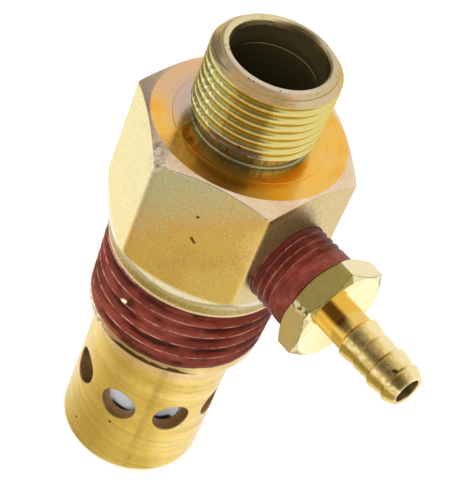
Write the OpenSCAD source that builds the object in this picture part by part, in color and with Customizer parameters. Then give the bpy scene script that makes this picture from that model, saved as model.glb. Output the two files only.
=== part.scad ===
// In-tank check valve of an air compressor, with a tube inlet on top, a hexagonal
// body, a tapered tank thread, a perforated outlet cage with a spring-loaded piston
// inside, and a hose barb screwed into the side port.
// The origin is the centre of the tube stop, on the valve's axis. +Z points out of
// the inlet and +X out of the side port. Sizes are in millimetres.

/* [Tube inlet] */
// Outside diameter of the tube that goes into the inlet
tube_d = 9.525; // [8:0.005:9.6]
// Gap all round between the tube and its socket
tube_gap = 0.07; // [0.02:0.01:0.12]
// Depth of the tube stop below the inlet face
socket_depth = 9.5; // [6:0.1:10]
// Diameter of the cone that the ferrule seats on, at the inlet face
mouth_d = 10.82; // [10:0.02:11.6]
// Angle of the ferrule cone from the axis
mouth_angle = 15; // [12:1:30]
// Outside diameter of the flat rim round the mouth
rim_d = 12.16; // [11.8:0.02:13]
// Outside diameter of the inlet thread
inlet_thread_d = 14.29; // [13.8:0.01:16]
// Distance from the inlet face to the end of the inlet thread
inlet_thread_len = 8.3; // [6:0.1:12]
// Turns of the inlet thread in one inch
inlet_tpi = 24; // [20:1:28]
// Depth of the inlet thread
inlet_thread_depth = 0.6; // [0.3:0.05:0.75]
// Distance from the inlet face to the first full crest
inlet_first_crest = 1.1; // [1.1:0.05:2]
// Diameter of the relief below the inlet thread
relief_d = 12.52; // [12:0.02:13.4]
// Length of the relief below the inlet thread
relief_len = 1.9; // [1.2:0.1:4]

/* [Hexagonal body] */
// Width of the hexagon across its flats
hex_af = 22.225; // [22:0.025:24]
// Length of the hexagon
hex_len = 16.96; // [15:0.02:22]
// How far the turned top face stops short of the flats
face_inset = 0.27; // [0.05:0.01:0.6]
// Angle of the top chamfer from the top face
top_chamfer_angle = 29; // [20:1:40]
// Angle of the long lower chamfer from the axis
low_chamfer_angle = 35; // [30:1:50]
// Radius of the fillet between the relief and the top face
relief_fillet = 0.4; // [0.2:0.05:0.8]

/* [Tank thread] */
// Diameter of the collar between the hexagon and the tank thread
collar_d = 21.2; // [21:0.02:21.8]
// Length of the collar
collar_len = 1.57; // [1:0.01:3]
// Chamfer on the lower edge of the collar
collar_chamfer = 0.35; // [0.1:0.05:0.6]
// Outside diameter of the tank thread at its large end
tank_thread_d = 21.34; // [20.8:0.02:21.6]
// Length of the tank thread that the sealant covers
tank_thread_len = 9; // [8:0.1:12]
// Length of the plain end below the tank thread
tank_end_len = 1.4; // [0.8:0.1:3]
// Turns of the tank thread in one inch
tank_tpi = 14; // [11:1:18]
// Depth of the tank thread
tank_thread_depth = 0.85; // [0.4:0.05:1.1]
// Distance from the collar to the first crest of the tank thread
tank_first_crest = 1.86; // [1.2:0.02:3]
// Step from the thread's crests down to the plain end
tank_end_step = 0.06; // [0.02:0.01:0.2]
// Thickness of the sealant layer on the tank thread
tank_sealant_t = 0.25; // [0.1:0.05:0.4]

/* [Valve seat] */
// Diameter of the air passage
flow_d = 8; // [6:0.1:8.6]
// Diameter of the bore that holds the cage's neck
neck_d = 16; // [15.2:0.1:16.4]
// Length of the cage's neck inside the body
neck_len = 3.6; // [3:0.1:5]
// Thickness of the seat washer
washer_t = 1.5; // [1:0.1:2]
// Hole in the seat washer
washer_hole_d = 9; // [8.6:0.1:10]
// Gap all round between the seat washer and its bore
washer_gap = 0.1; // [0.05:0.01:0.3]

/* [Outlet cage] */
// Outside diameter of the cage
cage_d = 17; // [16.6:0.1:18]
// Length of the cage below the body
cage_len = 20.65; // [19:0.05:26]
// Inside diameter of the cage
cage_bore_d = 14; // [13.6:0.1:14.2]
// Thickness of the cage floor
cage_floor_t = 1.3; // [1:0.1:2]
// Radius of the cage's bottom edge
cage_edge_r = 1.1; // [0.5:0.1:1.2]
// Chamfer on the cage's top edge
cage_lip = 0.35; // [0.1:0.05:0.5]
// Gap between the body's end and the cage's shoulder
cage_seam = 0.25; // [0.1:0.05:0.3]
// Number of air holes round the cage
hole_count = 8; // [6:1:8]
// Diameter of an air hole
hole_d = 4.2; // [3:0.1:4.4]
// Distance from the body's end to the centres of the air holes
hole_drop = 10.2; // [8:0.1:12]

/* [Piston] */
// Diameter of the piston
piston_d = 12; // [11:0.1:12.4]
// How far the piston travels from its seat
piston_travel = 4; // [2:0.1:5]
// Gap left below the piston at the end of its travel
travel_gap = 0.1; // [0.05:0.05:0.3]
// Gap between the piston's guide ribs and the cage
rib_gap = 0.3; // [0.2:0.05:0.5]
// Width of a guide rib
rib_w = 2; // [1:0.1:3]
// Number of guide ribs
rib_count = 4; // [3:1:4]
// Distance from the piston's ends to the ends of the ribs
rib_inset = 2; // [1:0.1:4]
// Chamfer on the piston's top edge
piston_chamfer = 0.5; // [0.2:0.05:0.7]
// Diameter of the spring pocket in the piston
pocket_d = 8.8; // [8.4:0.1:9.4]
// Depth of the spring pocket in the piston
pocket_depth = 7.2; // [6:0.1:10]

/* [Spring] */
// Diameter of the spring wire
wire_d = 0.7; // [0.5:0.05:0.8]
// Outside diameter of the spring
spring_d = 7.8; // [7.4:0.1:8]
// Number of turns of the spring
spring_turns = 7; // [5:0.5:8]
// Gap between the spring's ends and what they bear on
spring_gap = 0.03; // [0.02:0.01:0.1]
// Gap all round between the spring and the boss that centres it
boss_gap = 0.3; // [0.2:0.05:0.5]
// Height of the boss that centres the spring
boss_h = 1.2; // [0.8:0.1:2]

/* [Side port] */
// Distance from the hexagon's top face down to the port's axis
port_drop = 9.83; // [8:0.01:11]
// Outside diameter of the fitting's thread at its large end
port_thread_d = 10.29; // [9.4:0.01:10.8]
// Turns of the fitting's thread in one inch
port_tpi = 27; // [24:1:28]
// Depth of the fitting's thread
port_thread_depth = 0.4; // [0.2:0.05:0.5]
// Distance from the fitting's hexagon to the first crest of its thread
port_first_crest = 1.63; // [1:0.01:2.5]
// Length of the fitting's thread inside the body
port_grip = 4.4; // [3:0.1:5]
// Length of the fitting that shows between the body and its hexagon
port_reach = 5.6; // [4:0.1:8]
// Depth of the port beyond the end of the fitting
port_run = 0.8; // [0.4:0.1:1]
// Diameter of the passage from the port to the air passage
port_bore_d = 4.6; // [3:0.1:6]
// Chamfer on the port's mouth
port_mouth = 0.3; // [0.1:0.05:0.5]
// Thickness of the sealant layer on the fitting's thread
port_sealant_t = 0.2; // [0.1:0.05:0.3]
// Length of bare thread at the fitting's inner end
port_bare_len = 1.2; // [0.5:0.1:2]
// Length of bare fitting between the sealant and the fitting's hexagon
port_bare_gap = 0.2; // [0.1:0.05:0.5]

/* [Hose barb] */
// Width of the fitting's hexagon across its flats
barb_af = 11.11; // [11:0.01:13]
// Length of the fitting's hexagon
barb_hex_len = 2.9; // [2.4:0.1:5]
// How far the turned faces of the fitting's hexagon stop short of its flats
barb_face_inset = 0.12; // [0.05:0.01:0.3]
// Angle by which the fitting's hexagon is turned about the port's axis
barb_turn = 6; // [0:1:59]
// Angle of the chamfers on the fitting's hexagon
barb_chamfer_angle = 30; // [20:1:35]
// Diameter of the plain stem
stem_d = 4.5; // [4.2:0.05:4.8]
// Length of the plain stem up to the first barb
stem_len = 2.9; // [2:0.1:5]
// Diameter over the barbs
barb_d = 5.2; // [5:0.05:6]
// Number of barbs
barb_count = 4; // [2:1:5]
// Distance from one barb to the next
barb_pitch = 2.15; // [1.6:0.05:3]
// Length of the flat crest of a barb
barb_land = 0.15; // [0.1:0.05:0.3]
// Diameter of the stem's tip
tip_d = 4; // [3.8:0.05:4.2]
// Length of the last taper, from the last barb to the tip
tip_len = 1.5; // [1:0.1:2.5]
// Diameter of the bore through the fitting
barb_bore_d = 2.96; // [2:0.02:3.2]

/* [Hidden] */
$fn = 96;

// American pipe threads taper by one part in sixteen on the diameter
pipe_taper = 1 / 32;
// How far a cutting shape runs past its face, and a joined one into its neighbour
cut = 1;
// Shares of a thread's pitch that its flat crest and its flat root take
crest_share = 0.1;
root_share = 0.25;
inch = 25.4;

// Heights on the valve's axis, from the inlet face down
inlet_z = socket_depth;
thread_end_z = inlet_z - inlet_thread_len;
hex_top_z = thread_end_z - relief_len;
hex_low_z = hex_top_z - hex_len;
collar_z = hex_low_z - collar_len;
sealant_z = collar_z - tank_thread_len;
body_end_z = sealant_z - tank_end_len;
neck_top_z = body_end_z + neck_len;
washer_top_z = neck_top_z + washer_t;
shoulder_z = body_end_z - cage_seam;
cage_low_z = shoulder_z - cage_len;
floor_z = cage_low_z + cage_floor_t;
hole_z = body_end_z - hole_drop;
port_z = hex_top_z - port_drop;

// Radii of the body
socket_r = tube_d / 2 + tube_gap;
mouth_r = mouth_d / 2;
rim_r = rim_d / 2;
inlet_r = inlet_thread_d / 2;
relief_r = relief_d / 2;
collar_r = collar_d / 2;
tank_r = tank_thread_d / 2;
hex_corner_r = hex_af / 2 / cos(30);
face_r = hex_af / 2 - face_inset;
neck_r = neck_d / 2;

// Threads, which are drawn as rings, one to each turn
inlet_pitch = inch / inlet_tpi;
inlet_crest_z = inlet_z - inlet_first_crest;
inlet_turns = floor((inlet_thread_len - inlet_first_crest) / inlet_pitch + 0.25);
tank_pitch = inch / tank_tpi;
tank_crest_z = collar_z - tank_first_crest;
tank_turns = floor((tank_thread_len - tank_first_crest) / tank_pitch);
port_pitch = inch / port_tpi;
port_turns = floor((port_reach - port_first_crest) / port_pitch);

// Piston and spring
piston_low_z = floor_z + piston_travel + travel_gap;
piston_r = piston_d / 2;
pocket_z = piston_low_z + pocket_depth;
spring_low_z = floor_z + spring_gap;
spring_high_z = pocket_z - spring_gap;
wire_r = wire_d / 2;
coil_r = spring_d / 2 - wire_r;
// Sides of the wire and steps in one turn of the spring
wire_sides = 8;
turn_steps = 16;
// Rise of one turn where the end coils lie on each other
closed_pitch = wire_d * 1.06;

// Places along the port's axis
flat_x = hex_af / 2;
fitting_x = flat_x - port_grip;
port_floor_x = fitting_x - port_run;
barb_hex_x = flat_x + port_reach;
port_crest_x = barb_hex_x - port_first_crest;
barb_face_x = barb_hex_x + barb_hex_len;
first_barb_x = barb_face_x + stem_len;
tip_x = first_barb_x + (barb_count - 1) * barb_pitch + tip_len;
port_sealant_x = fitting_x + port_bare_len;
port_sealant_end_x = barb_hex_x - port_bare_gap;
barb_corner_r = barb_af / 2 / cos(30);
barb_face_r = barb_af / 2 - barb_face_inset;

// Radius over the tank thread's crests at height z
function tank_crest(z) = tank_r - (collar_z - z) * pipe_taper;

// Radius over the fitting's thread at x
function port_crest(x) = port_thread_d / 2 - (barb_hex_x - x) * pipe_taper;

// Outline of a thread, from low to high, under the crest at height top: each turn is a
// groove between two flat crests. crest(z) gives the radius over the crests at height z
function thread_line(top, turns, pitch, depth, crest) =
    let (reach = pitch * (1 - crest_share) / 2, half_root = pitch * root_share / 2)
    [for (i = [turns - 1 : -1 : 0]) let (z = top - (i + 0.5) * pitch) each [
        [crest(z - reach), z - reach], [crest(z) - depth, z - half_root],
        [crest(z) - depth, z + half_root], [crest(z + reach), z + reach]]];

// Outline of the tank thread, from its low end up to the collar, inset below the crests
function tank_line(inset) =
    let (crest = function(z) tank_crest(z) - inset,
         crest_top = tank_crest_z + crest_share * tank_pitch / 2,
         root_low = tank_crest_z + tank_pitch * (1 - root_share) / 2)
    concat([[crest(sealant_z), sealant_z]],
        thread_line(tank_crest_z, tank_turns, tank_pitch, tank_thread_depth, crest),
        [[crest(crest_top), crest_top], [crest(root_low) - tank_thread_depth, root_low],
         [crest(root_low) - tank_thread_depth, collar_z]]);

// Outline of the fitting's thread, from the sealant's inner end to end, inset below the crests
function port_line(end, inset) =
    let (crest = function(x) port_crest(x) - inset)
    concat([[crest(port_sealant_x), port_sealant_x]],
        thread_line(port_crest_x, port_turns, port_pitch, port_thread_depth, crest),
        [[crest(end), end]]);

function reversed(line) = [for (i = [len(line) - 1 : -1 : 0]) line[i]];

// Turns its children from the Z axis onto the port's axis
module on_port_axis() {
    translate([0, 0, port_z]) rotate([0, 90, 0]) children();
}

// Solid of revolution with straight ends: radius low_r at low, high_r at high
module taper(low, high, low_r, high_r) {
    translate([0, 0, low]) cylinder(h = high - low, r1 = low_r, r2 = high_r);
}

// Inlet end: flat rim, chamfer, thread, relief and its fillet
module inlet_turning() {
    edge = inlet_r - rim_r;
    thread_low = inlet_crest_z - (inlet_turns + crest_share / 2) * inlet_pitch;
    fillet_steps = 6;
    rotate_extrude() polygon(concat(
        [[0, hex_top_z - cut], [relief_r + relief_fillet, hex_top_z - cut],
         [relief_r + relief_fillet, hex_top_z]],
        [for (i = [1 : fillet_steps]) let (a = 90 * i / fillet_steps)
            [relief_r + relief_fillet * (1 - sin(a)),
             hex_top_z + relief_fillet * (1 - cos(a))]],
        [[relief_r, thread_end_z - edge / 2], [inlet_r, thread_low]],
        thread_line(inlet_crest_z, inlet_turns, inlet_pitch, inlet_thread_depth,
                    function(z) inlet_r),
        [[inlet_r, inlet_z - edge], [rim_r, inlet_z], [0, inlet_z]]));
}

// Hexagon with turned chamfers above and below
module hexagon_block() {
    top_drop = (hex_corner_r - face_r) * tan(top_chamfer_angle);
    low_rise = (hex_corner_r - collar_r) / tan(low_chamfer_angle);
    intersection() {
        translate([0, 0, hex_low_z]) rotate(30) cylinder(h = hex_len, r = hex_corner_r, $fn = 6);
        rotate_extrude() polygon([
            [0, hex_low_z], [collar_r, hex_low_z],
            [hex_corner_r, hex_low_z + low_rise],
            [hex_corner_r, hex_top_z - top_drop],
            [face_r, hex_top_z], [0, hex_top_z]]);
    }
}

// Collar, tank thread under its sealant, and plain end
module tank_turning() {
    end_r = tank_crest(sealant_z) - tank_end_step;
    low_r = end_r - tank_end_len * 2 * pipe_taper;
    rotate_extrude() polygon(concat(
        [[0, body_end_z], [low_r - tank_end_step, body_end_z],
         [low_r, body_end_z + tank_end_step], [end_r, sealant_z]],
        tank_line(tank_sealant_t),
        [[collar_r - collar_chamfer, collar_z], [collar_r, collar_z + collar_chamfer],
         [collar_r, hex_low_z + cut], [0, hex_low_z + cut]]));
}

// Ferrule cone, tube socket, air passage and the bore for the cage's neck
module main_passage() {
    mouth_depth = (mouth_r - socket_r) / tan(mouth_angle);
    mouth_slope = (mouth_r - socket_r) / mouth_depth;
    rotate_extrude() polygon([
        [0, body_end_z - cut], [neck_r, body_end_z - cut],
        [neck_r, washer_top_z], [flow_d / 2, washer_top_z],
        [flow_d / 2, 0], [socket_r, 0],
        [socket_r, inlet_z - mouth_depth],
        [mouth_r + cut * mouth_slope, inlet_z + cut], [0, inlet_z + cut]]);
}

// Side port for the barb fitting, open into the air passage
module side_port() {
    mouth_r = port_crest(flat_x) + port_mouth;
    on_port_axis() {
        taper(port_floor_x, flat_x + cut, port_crest(port_floor_x), port_crest(flat_x + cut));
        taper(flat_x - port_mouth, flat_x + cut, port_crest(flat_x), mouth_r + cut);
        taper(0, flat_x, port_bore_d / 2, port_bore_d / 2);
    }
}

module valve_body() {
    color("goldenrod") difference() {
        union() {
            inlet_turning();
            hexagon_block();
            tank_turning();
        }
        main_passage();
        side_port();
    }
}

// Thread sealant on the tank thread, from the collar down to the plain end
module tank_thread_sealant() {
    color("firebrick") rotate_extrude()
        polygon(concat(tank_line(0), reversed(tank_line(tank_sealant_t))));
}

// Soft washer clamped between the body and the cage, which the piston closes against
module seat_washer() {
    color("dimgray") difference() {
        translate([0, 0, neck_top_z]) cylinder(h = washer_t, d = neck_d - 2 * washer_gap);
        translate([0, 0, neck_top_z - cut]) cylinder(h = washer_t + 2 * cut, d = washer_hole_d);
    }
}

// Outline of the cage: neck, lip, wall, rounded bottom edge, floor and spring boss
module cage_turning() {
    wall_r = cage_d / 2;
    bore_r = cage_bore_d / 2;
    boss_r = coil_r - wire_r - boss_gap;
    edge_steps = 8;
    rotate_extrude() polygon(concat(
        [[0, cage_low_z]],
        [for (i = [0 : edge_steps]) let (a = 90 * i / edge_steps)
            [wall_r - cage_edge_r * (1 - sin(a)), cage_low_z + cage_edge_r * (1 - cos(a))]],
        [[wall_r, shoulder_z - cage_lip], [wall_r - cage_lip, shoulder_z],
         [neck_r, shoulder_z], [neck_r, neck_top_z], [bore_r, neck_top_z],
         [bore_r, floor_z], [boss_r, floor_z], [boss_r, floor_z + boss_h],
         [0, floor_z + boss_h]]));
}

module outlet_cage() {
    step = 360 / hole_count;
    color("gold") difference() {
        cage_turning();
        for (i = [0 : hole_count - 1])
            rotate(step * (i + 0.5)) translate([0, 0, hole_z]) rotate([0, 90, 0])
                translate([0, 0, cage_bore_d / 4]) cylinder(h = cage_d / 2, d = hole_d);
    }
}

// One guide rib of the piston, pointing along +X, with sloping ends
module guide_rib() {
    rib_r = cage_bore_d / 2 - rib_gap;
    slope = rib_r - piston_r;
    low = piston_low_z + rib_inset;
    high = neck_top_z - rib_inset;
    rotate([90, 0, 0]) translate([0, 0, -rib_w / 2]) linear_extrude(rib_w) polygon([
        [piston_r - cut, low - slope], [piston_r, low - slope],
        [rib_r, low], [rib_r, high],
        [piston_r, high + slope], [piston_r - cut, high + slope]]);
}

module check_piston() {
    color("whitesmoke") difference() {
        union() {
            taper(piston_low_z, neck_top_z - piston_chamfer, piston_r, piston_r);
            taper(neck_top_z - piston_chamfer, neck_top_z, piston_r, piston_r - piston_chamfer);
            for (i = [0 : rib_count - 1])
                rotate(360 / rib_count * i) guide_rib();
        }
        taper(piston_low_z - cut, pocket_z, pocket_d / 2, pocket_d / 2);
    }
}

// Height of the wire's centre after the given number of turns: the first and last
// turns lie on their neighbours, and the turns between them are evenly open
function coil_z(turn) =
    let (rise = spring_high_z - spring_low_z - wire_d,
         open_pitch = (rise - 2 * closed_pitch) / (spring_turns - 2))
    spring_low_z + wire_r
    + closed_pitch * min(turn, 1)
    + open_pitch * min(max(turn - 1, 0), spring_turns - 2)
    + closed_pitch * max(turn - spring_turns + 1, 0);

module return_spring() {
    steps = spring_turns * turn_steps;
    points = [for (s = [0 : steps], k = [0 : wire_sides - 1])
        let (a = 360 * s / turn_steps,
             b = 360 * k / wire_sides,
             r = coil_r + wire_r * cos(b),
             z = coil_z(s / turn_steps) + wire_r * sin(b))
        [r * cos(a), r * sin(a), z]];
    sides = [for (s = [0 : steps - 1], k = [0 : wire_sides - 1])
        let (next = (k + 1) % wire_sides, here = s * wire_sides, ahead = here + wire_sides)
        [here + k, here + next, ahead + next, ahead + k]];
    first = [for (k = [wire_sides - 1 : -1 : 0]) k];
    last = [for (k = [0 : wire_sides - 1]) steps * wire_sides + k];
    color("silver") polyhedron(points, concat([first], sides, [last]));
}

// Threaded end and shank of the barb fitting, under the sealant
module fitting_shank() {
    on_port_axis() {
        taper(fitting_x, port_sealant_x, port_crest(fitting_x), port_crest(port_sealant_x));
        rotate_extrude() polygon(concat(
            [[0, port_sealant_x]], port_line(barb_hex_x, port_sealant_t), [[0, barb_hex_x]]));
    }
}

// Hexagon of the barb fitting, chamfered at both ends
module fitting_hexagon() {
    drop = (barb_corner_r - barb_face_r) * tan(barb_chamfer_angle);
    on_port_axis() intersection() {
        translate([0, 0, barb_hex_x]) rotate(barb_turn)
            cylinder(h = barb_hex_len, r = barb_corner_r, $fn = 6);
        rotate_extrude() polygon([
            [0, barb_hex_x], [barb_face_r, barb_hex_x],
            [barb_corner_r, barb_hex_x + drop],
            [barb_corner_r, barb_face_x - drop],
            [barb_face_r, barb_face_x], [0, barb_face_x]]);
    }
}

// Stem with saw-tooth barbs, each with its steep side towards the hexagon
module barbed_stem() {
    on_port_axis() rotate_extrude() polygon(concat(
        [[0, barb_face_x], [stem_d / 2, barb_face_x]],
        [for (i = [0 : barb_count - 1]) let (x = first_barb_x + i * barb_pitch) each [
            [stem_d / 2, x],
            [barb_d / 2, x + barb_land],
            [barb_d / 2, x + 2 * barb_land]]],
        [[tip_d / 2, tip_x], [0, tip_x]]));
}

module barb_fitting() {
    color("gold") difference() {
        union() {
            fitting_shank();
            fitting_hexagon();
            barbed_stem();
        }
        on_port_axis() taper(fitting_x - cut, tip_x + cut, barb_bore_d / 2, barb_bore_d / 2);
    }
}

// Thread sealant on the barb fitting's thread
module barb_thread_sealant() {
    color("firebrick") on_port_axis() rotate_extrude() polygon(concat(
        port_line(port_sealant_end_x, 0),
        reversed(port_line(port_sealant_end_x, port_sealant_t))));
}

valve_body();
tank_thread_sealant();
seat_washer();
outlet_cage();
check_piston();
return_spring();
barb_fitting();
barb_thread_sealant();
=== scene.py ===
"""Looks of an in-tank air check valve: plating, brass, sealant and real threads.

Lengths are in millimetres until a piece is made; make_piece() turns them into metres.
Sectors are in degrees round the axis of a piece: from the side port's side on the valve's
axis, and from +Y towards +Z on the side port's.
"""
import math

import bmesh
import bpy
import numpy as np
from mathutils import Matrix, Vector


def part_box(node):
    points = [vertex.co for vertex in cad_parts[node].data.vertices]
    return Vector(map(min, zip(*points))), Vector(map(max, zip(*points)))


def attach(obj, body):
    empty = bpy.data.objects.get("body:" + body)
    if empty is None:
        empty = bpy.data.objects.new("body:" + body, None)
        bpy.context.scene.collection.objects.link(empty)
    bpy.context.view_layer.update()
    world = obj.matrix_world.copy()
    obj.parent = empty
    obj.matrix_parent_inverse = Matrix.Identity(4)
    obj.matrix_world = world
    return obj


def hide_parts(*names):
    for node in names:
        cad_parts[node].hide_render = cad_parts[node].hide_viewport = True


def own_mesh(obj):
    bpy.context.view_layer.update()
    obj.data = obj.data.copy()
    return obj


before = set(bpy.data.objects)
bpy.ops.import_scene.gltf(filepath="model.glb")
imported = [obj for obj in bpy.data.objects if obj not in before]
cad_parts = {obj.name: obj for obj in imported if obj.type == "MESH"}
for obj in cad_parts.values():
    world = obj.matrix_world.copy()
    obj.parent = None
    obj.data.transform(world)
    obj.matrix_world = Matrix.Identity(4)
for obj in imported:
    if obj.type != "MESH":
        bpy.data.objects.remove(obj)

MM = 0.001
TURN = 2 * math.pi
CREST_ANGLE = math.radians(-55)  # direction at which a thread's first crest is measured
COLUMNS = 288  # columns of points round the valve's axis
PORT_COLUMNS = 192  # columns of points round the side port's axis
WELD = 0.0004  # points nearer than this are one
SHARP_ANGLE = 34  # edges sharper than this, in degrees, aren't shaded smooth
CAGE_SHARP_ANGLE, SEALANT_SHARP_ANGLE = 40, 60
AXIS_R = 0.02  # radius of a disc's innermost ring of points


def box_mm(node):
    """Lowest and highest corner of a CAD node, in millimetres."""
    low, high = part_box(node)
    return Vector(low) / MM, Vector(high) / MM


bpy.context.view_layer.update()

# Places and sizes that the frame gives
body_low, body_high = box_mm("valve_body")
tank_low, tank_high = box_mm("tank_thread_sealant")
cage_low, cage_high = box_mm("outlet_cage")
spring_low, spring_high = box_mm("return_spring")
fitting_low, fitting_high = box_mm("barb_fitting")
port_seal_low, port_seal_high = box_mm("barb_thread_sealant")

INLET_Z = body_high.z
HEX_APOTHEM = body_high.x
BODY_END_Z = body_low.z
COLLAR_Z = tank_high.z
SEALANT_Z = tank_low.z
CAGE_R = cage_high.x
CAGE_LOW_Z = cage_low.z
NECK_TOP_Z = cage_high.z
WASHER_TOP_Z = box_mm("seat_washer")[1].z
PORT_Z = (port_seal_low.z + port_seal_high.z) / 2
PORT_R = port_seal_high.y
TIP_X = fitting_high.x
FITTING_X = fitting_low.x

# Inlet
MOUTH_R, SOCKET_R, FLOW_R = 5.41, 4.8325, 4.0
MOUTH_DEPTH = 2.155
MOUTH_FOOT = (5.2, INLET_Z - 0.78, 0)
RIM_R = 6.08
INLET_R = 7.145
INLET_PITCH = 25.4 / 24
INLET_DEPTH = 0.46
INLET_FIRST_CREST = 1.1
THREAD_END_Z = INLET_Z - 8.3
RELIEF_R = 6.26
HEX_TOP_Z = THREAD_END_Z - 1.9

# Hexagonal body
HEX_LOW_Z = HEX_TOP_Z - 16.96
HEX_ROUNDING = 0.7
FACE_R = HEX_APOTHEM - 0.27
TOP_CHAMFER = math.tan(math.radians(29))
LOW_CHAMFER = math.tan(math.radians(35))
SCRIBE_R, SCRIBE_DEPTH = 8.47, 0.015
COLLAR_R = 10.6
NECK_R = 8.0

# Tank thread
PIPE_TAPER = 1 / 32
TANK_PITCH = 25.4 / 14
TANK_DEPTH = 0.85
TANK_FIRST_CREST = 1.86
TANK_TOOTH = (0.04, 0.30)  # its crest and root, as shares of the pitch
TANK_R = tank_high.x + (TANK_FIRST_CREST - 0.05 * TANK_PITCH) * PIPE_TAPER

# Outlet cage
CAGE_BORE_R = 7.0
CAGE_FLOOR_Z = CAGE_LOW_Z + 1.3
SHOULDER_Z = BODY_END_Z - 0.25
HOLE_Z = BODY_END_Z - 10.2
HOLE_R = 2.1
HOLES = 8

# Side port and barb fitting
PORT_PITCH = 25.4 / 27
PORT_DEPTH = 0.42
PORT_FIRST_CREST = 13.2
PORT_TOOTH = (0.06, 0.30)
FLAT_X = HEX_APOTHEM
BARB_HEX_X = FLAT_X + 5.6
BARB_FACE_X = BARB_HEX_X + 2.9
BARB_APOTHEM = 11.11 / 2
BARB_FACE_R = BARB_APOTHEM - 0.12
BARB_DISH = 1.1
BARB_ROUNDING = 0.12
CREASE_REACH = 0.10
BARB_SLOPE = math.tan(math.radians(30))
BARB_TURN = math.radians(6)
STEM_R, BARB_R, TIP_R, BARB_BORE_R = 2.25, 2.6, 2.0, 1.48
BARB_WEAR, BARB_PITCH = (0.0, 0.20, 0.02, 0.12), 2.15
FIRST_BARB_X = BARB_FACE_X + 2.9
STEM_FRONT = 133  # middle of the stem's front, in degrees


# ---------------------------------------------------------------- mesh helpers

def polar(radius, angle, height):
    """Points at a radius and an angle round the Z axis."""
    radius, angle, height = np.broadcast_arrays(radius, angle, height)
    return np.stack([radius * np.cos(angle), radius * np.sin(angle), height], axis=-1)


def around(columns):
    return np.arange(columns) * TURN / columns


def outline(corners, columns, steps=4):
    """Rows of radius and height through the corners, each rounded by its cut length.

    A corner is (radius, height, cut). Radius and height are numbers or one value a column.
    """
    most, lead = 0.45, 1.1  # share of a side that a cut may take, and where it starts
    full = [np.broadcast_to(np.stack(np.broadcast_arrays(
        np.asarray(r, float), np.asarray(z, float)), -1), (columns, 2)) for r, z, _ in corners]
    rows = []
    for i, (_, _, cut) in enumerate(corners):
        here = full[i]
        if cut == 0 or i in (0, len(corners) - 1):
            rows.append(here)
            continue
        back, ahead = full[i - 1] - here, full[i + 1] - here
        back_len = np.linalg.norm(back, axis=1, keepdims=True)
        ahead_len = np.linalg.norm(ahead, axis=1, keepdims=True)
        reach = np.minimum(cut, most * np.minimum(back_len, ahead_len))
        back, ahead = back / np.maximum(back_len, 1e-9), ahead / np.maximum(ahead_len, 1e-9)
        rows.append(here + lead * reach * back)
        for s in np.linspace(0, 1, steps + 1):
            rows.append(here + (1 - s) ** 2 * reach * back + s ** 2 * reach * ahead)
        rows.append(here + lead * reach * ahead)
    return np.stack(rows)


def lathe(corners, columns=COLUMNS, steps=4):
    """Rows of points of a turned or six-sided surface."""
    rows = outline(corners, columns, steps)
    return polar(rows[..., 0], around(columns)[None, :], rows[..., 1])


def hexagon_radius(angle, apothem, rounding, turn):
    """Distance from the axis to a hexagon with rounded corners."""
    local = (angle - turn + TURN / 12) % (TURN / 6) - TURN / 12
    flat = apothem / np.cos(local)
    centre = (apothem - rounding) / math.cos(TURN / 12)
    off = TURN / 12 - np.abs(local)
    corner = centre * np.cos(off) + np.sqrt(np.maximum(
        rounding ** 2 - (centre * np.sin(off)) ** 2, 0))
    limit = math.atan((apothem - rounding) * math.tan(TURN / 12) / apothem)
    return np.where(np.abs(local) > limit, corner, flat)


def tooth(phase, crest, root):
    """Height of a thread's profile from 0 to 1. Phase is 0 at the crest.

    crest and root are the shares of the pitch that are nearly flat.
    """
    away = np.abs((phase + 0.5) % 1 - 0.5)
    ramp = np.clip((0.5 - root / 2 - away) / (0.5 - root / 2 - crest / 2), 0, 1)
    return ramp * (1.6 - 0.6 * ramp ** 2 * (3 - 2 * ramp))


def ridge(phase):
    """Height of a rounded thread ridge from 0 to 1. Phase is 0 at the crest."""
    away = 2 * np.abs((phase + 0.5) % 1 - 0.5)
    return np.clip(1 - away ** 2.2, 0, 1) ** 0.9


def screw(top, low, pitch, first_crest, steps, radius_at, columns):
    """Rows of a right-hand thread between two heights, with rows that follow its helix.

    radius_at(phase, height, angle) gives the radius. Returns the points, the phase of each
    point, and how many rows the seam shifts by.
    """
    angle = around(columns)[None, :]
    count = int(math.ceil(((top - low) / pitch + 3) * steps)) + 1
    row = np.arange(count)[:, None]
    start = first_crest - (CREST_ANGLE % TURN) / TURN * pitch
    start += math.ceil((top - start) / pitch) * pitch
    free = start - row * pitch / steps + angle / TURN * pitch
    phase = np.broadcast_to((row / steps) % 1, free.shape)
    height = np.clip(free, low, top)
    radius = radius_at(phase, height, np.broadcast_to(angle, height.shape))
    return polar(radius, angle, height), phase, steps


class Surface:
    """Points and faces of one piece, with a value from 0 to 1 at each point."""

    def __init__(self):
        self.points, self.marks, self.faces, self.slots = [], [], [], []
        self.count = 0

    def add(self, rows, slot=0, mark=0.0, shift=0, patch=False):
        """Adds a grid that runs right round, or a patch that is open on all four sides.

        shift is the number of rows that a helix rises by in one turn.
        """
        rows = np.asarray(rows, float)
        n_rows, n_cols = rows.shape[:2]
        r = np.arange(n_rows - 1)[:, None]
        c = np.arange(n_cols - patch)[None, :]
        ahead = (c + 1) % n_cols
        seam = np.where(ahead == 0, shift, 0)
        low, high = (np.clip(row - seam, 0, n_rows - 1) for row in (r, r + 1))
        quads = np.stack(np.broadcast_arrays(
            r * n_cols + c, low * n_cols + ahead,
            high * n_cols + ahead, (r + 1) * n_cols + c), -1).reshape(-1, 4)
        self.points.append(rows.reshape(-1, 3))
        self.marks.append(np.broadcast_to(mark, rows.shape[:2]).reshape(-1))
        self.faces.append(quads + self.count)
        self.slots.append(np.full(len(quads), slot))
        self.count += n_rows * n_cols


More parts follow.
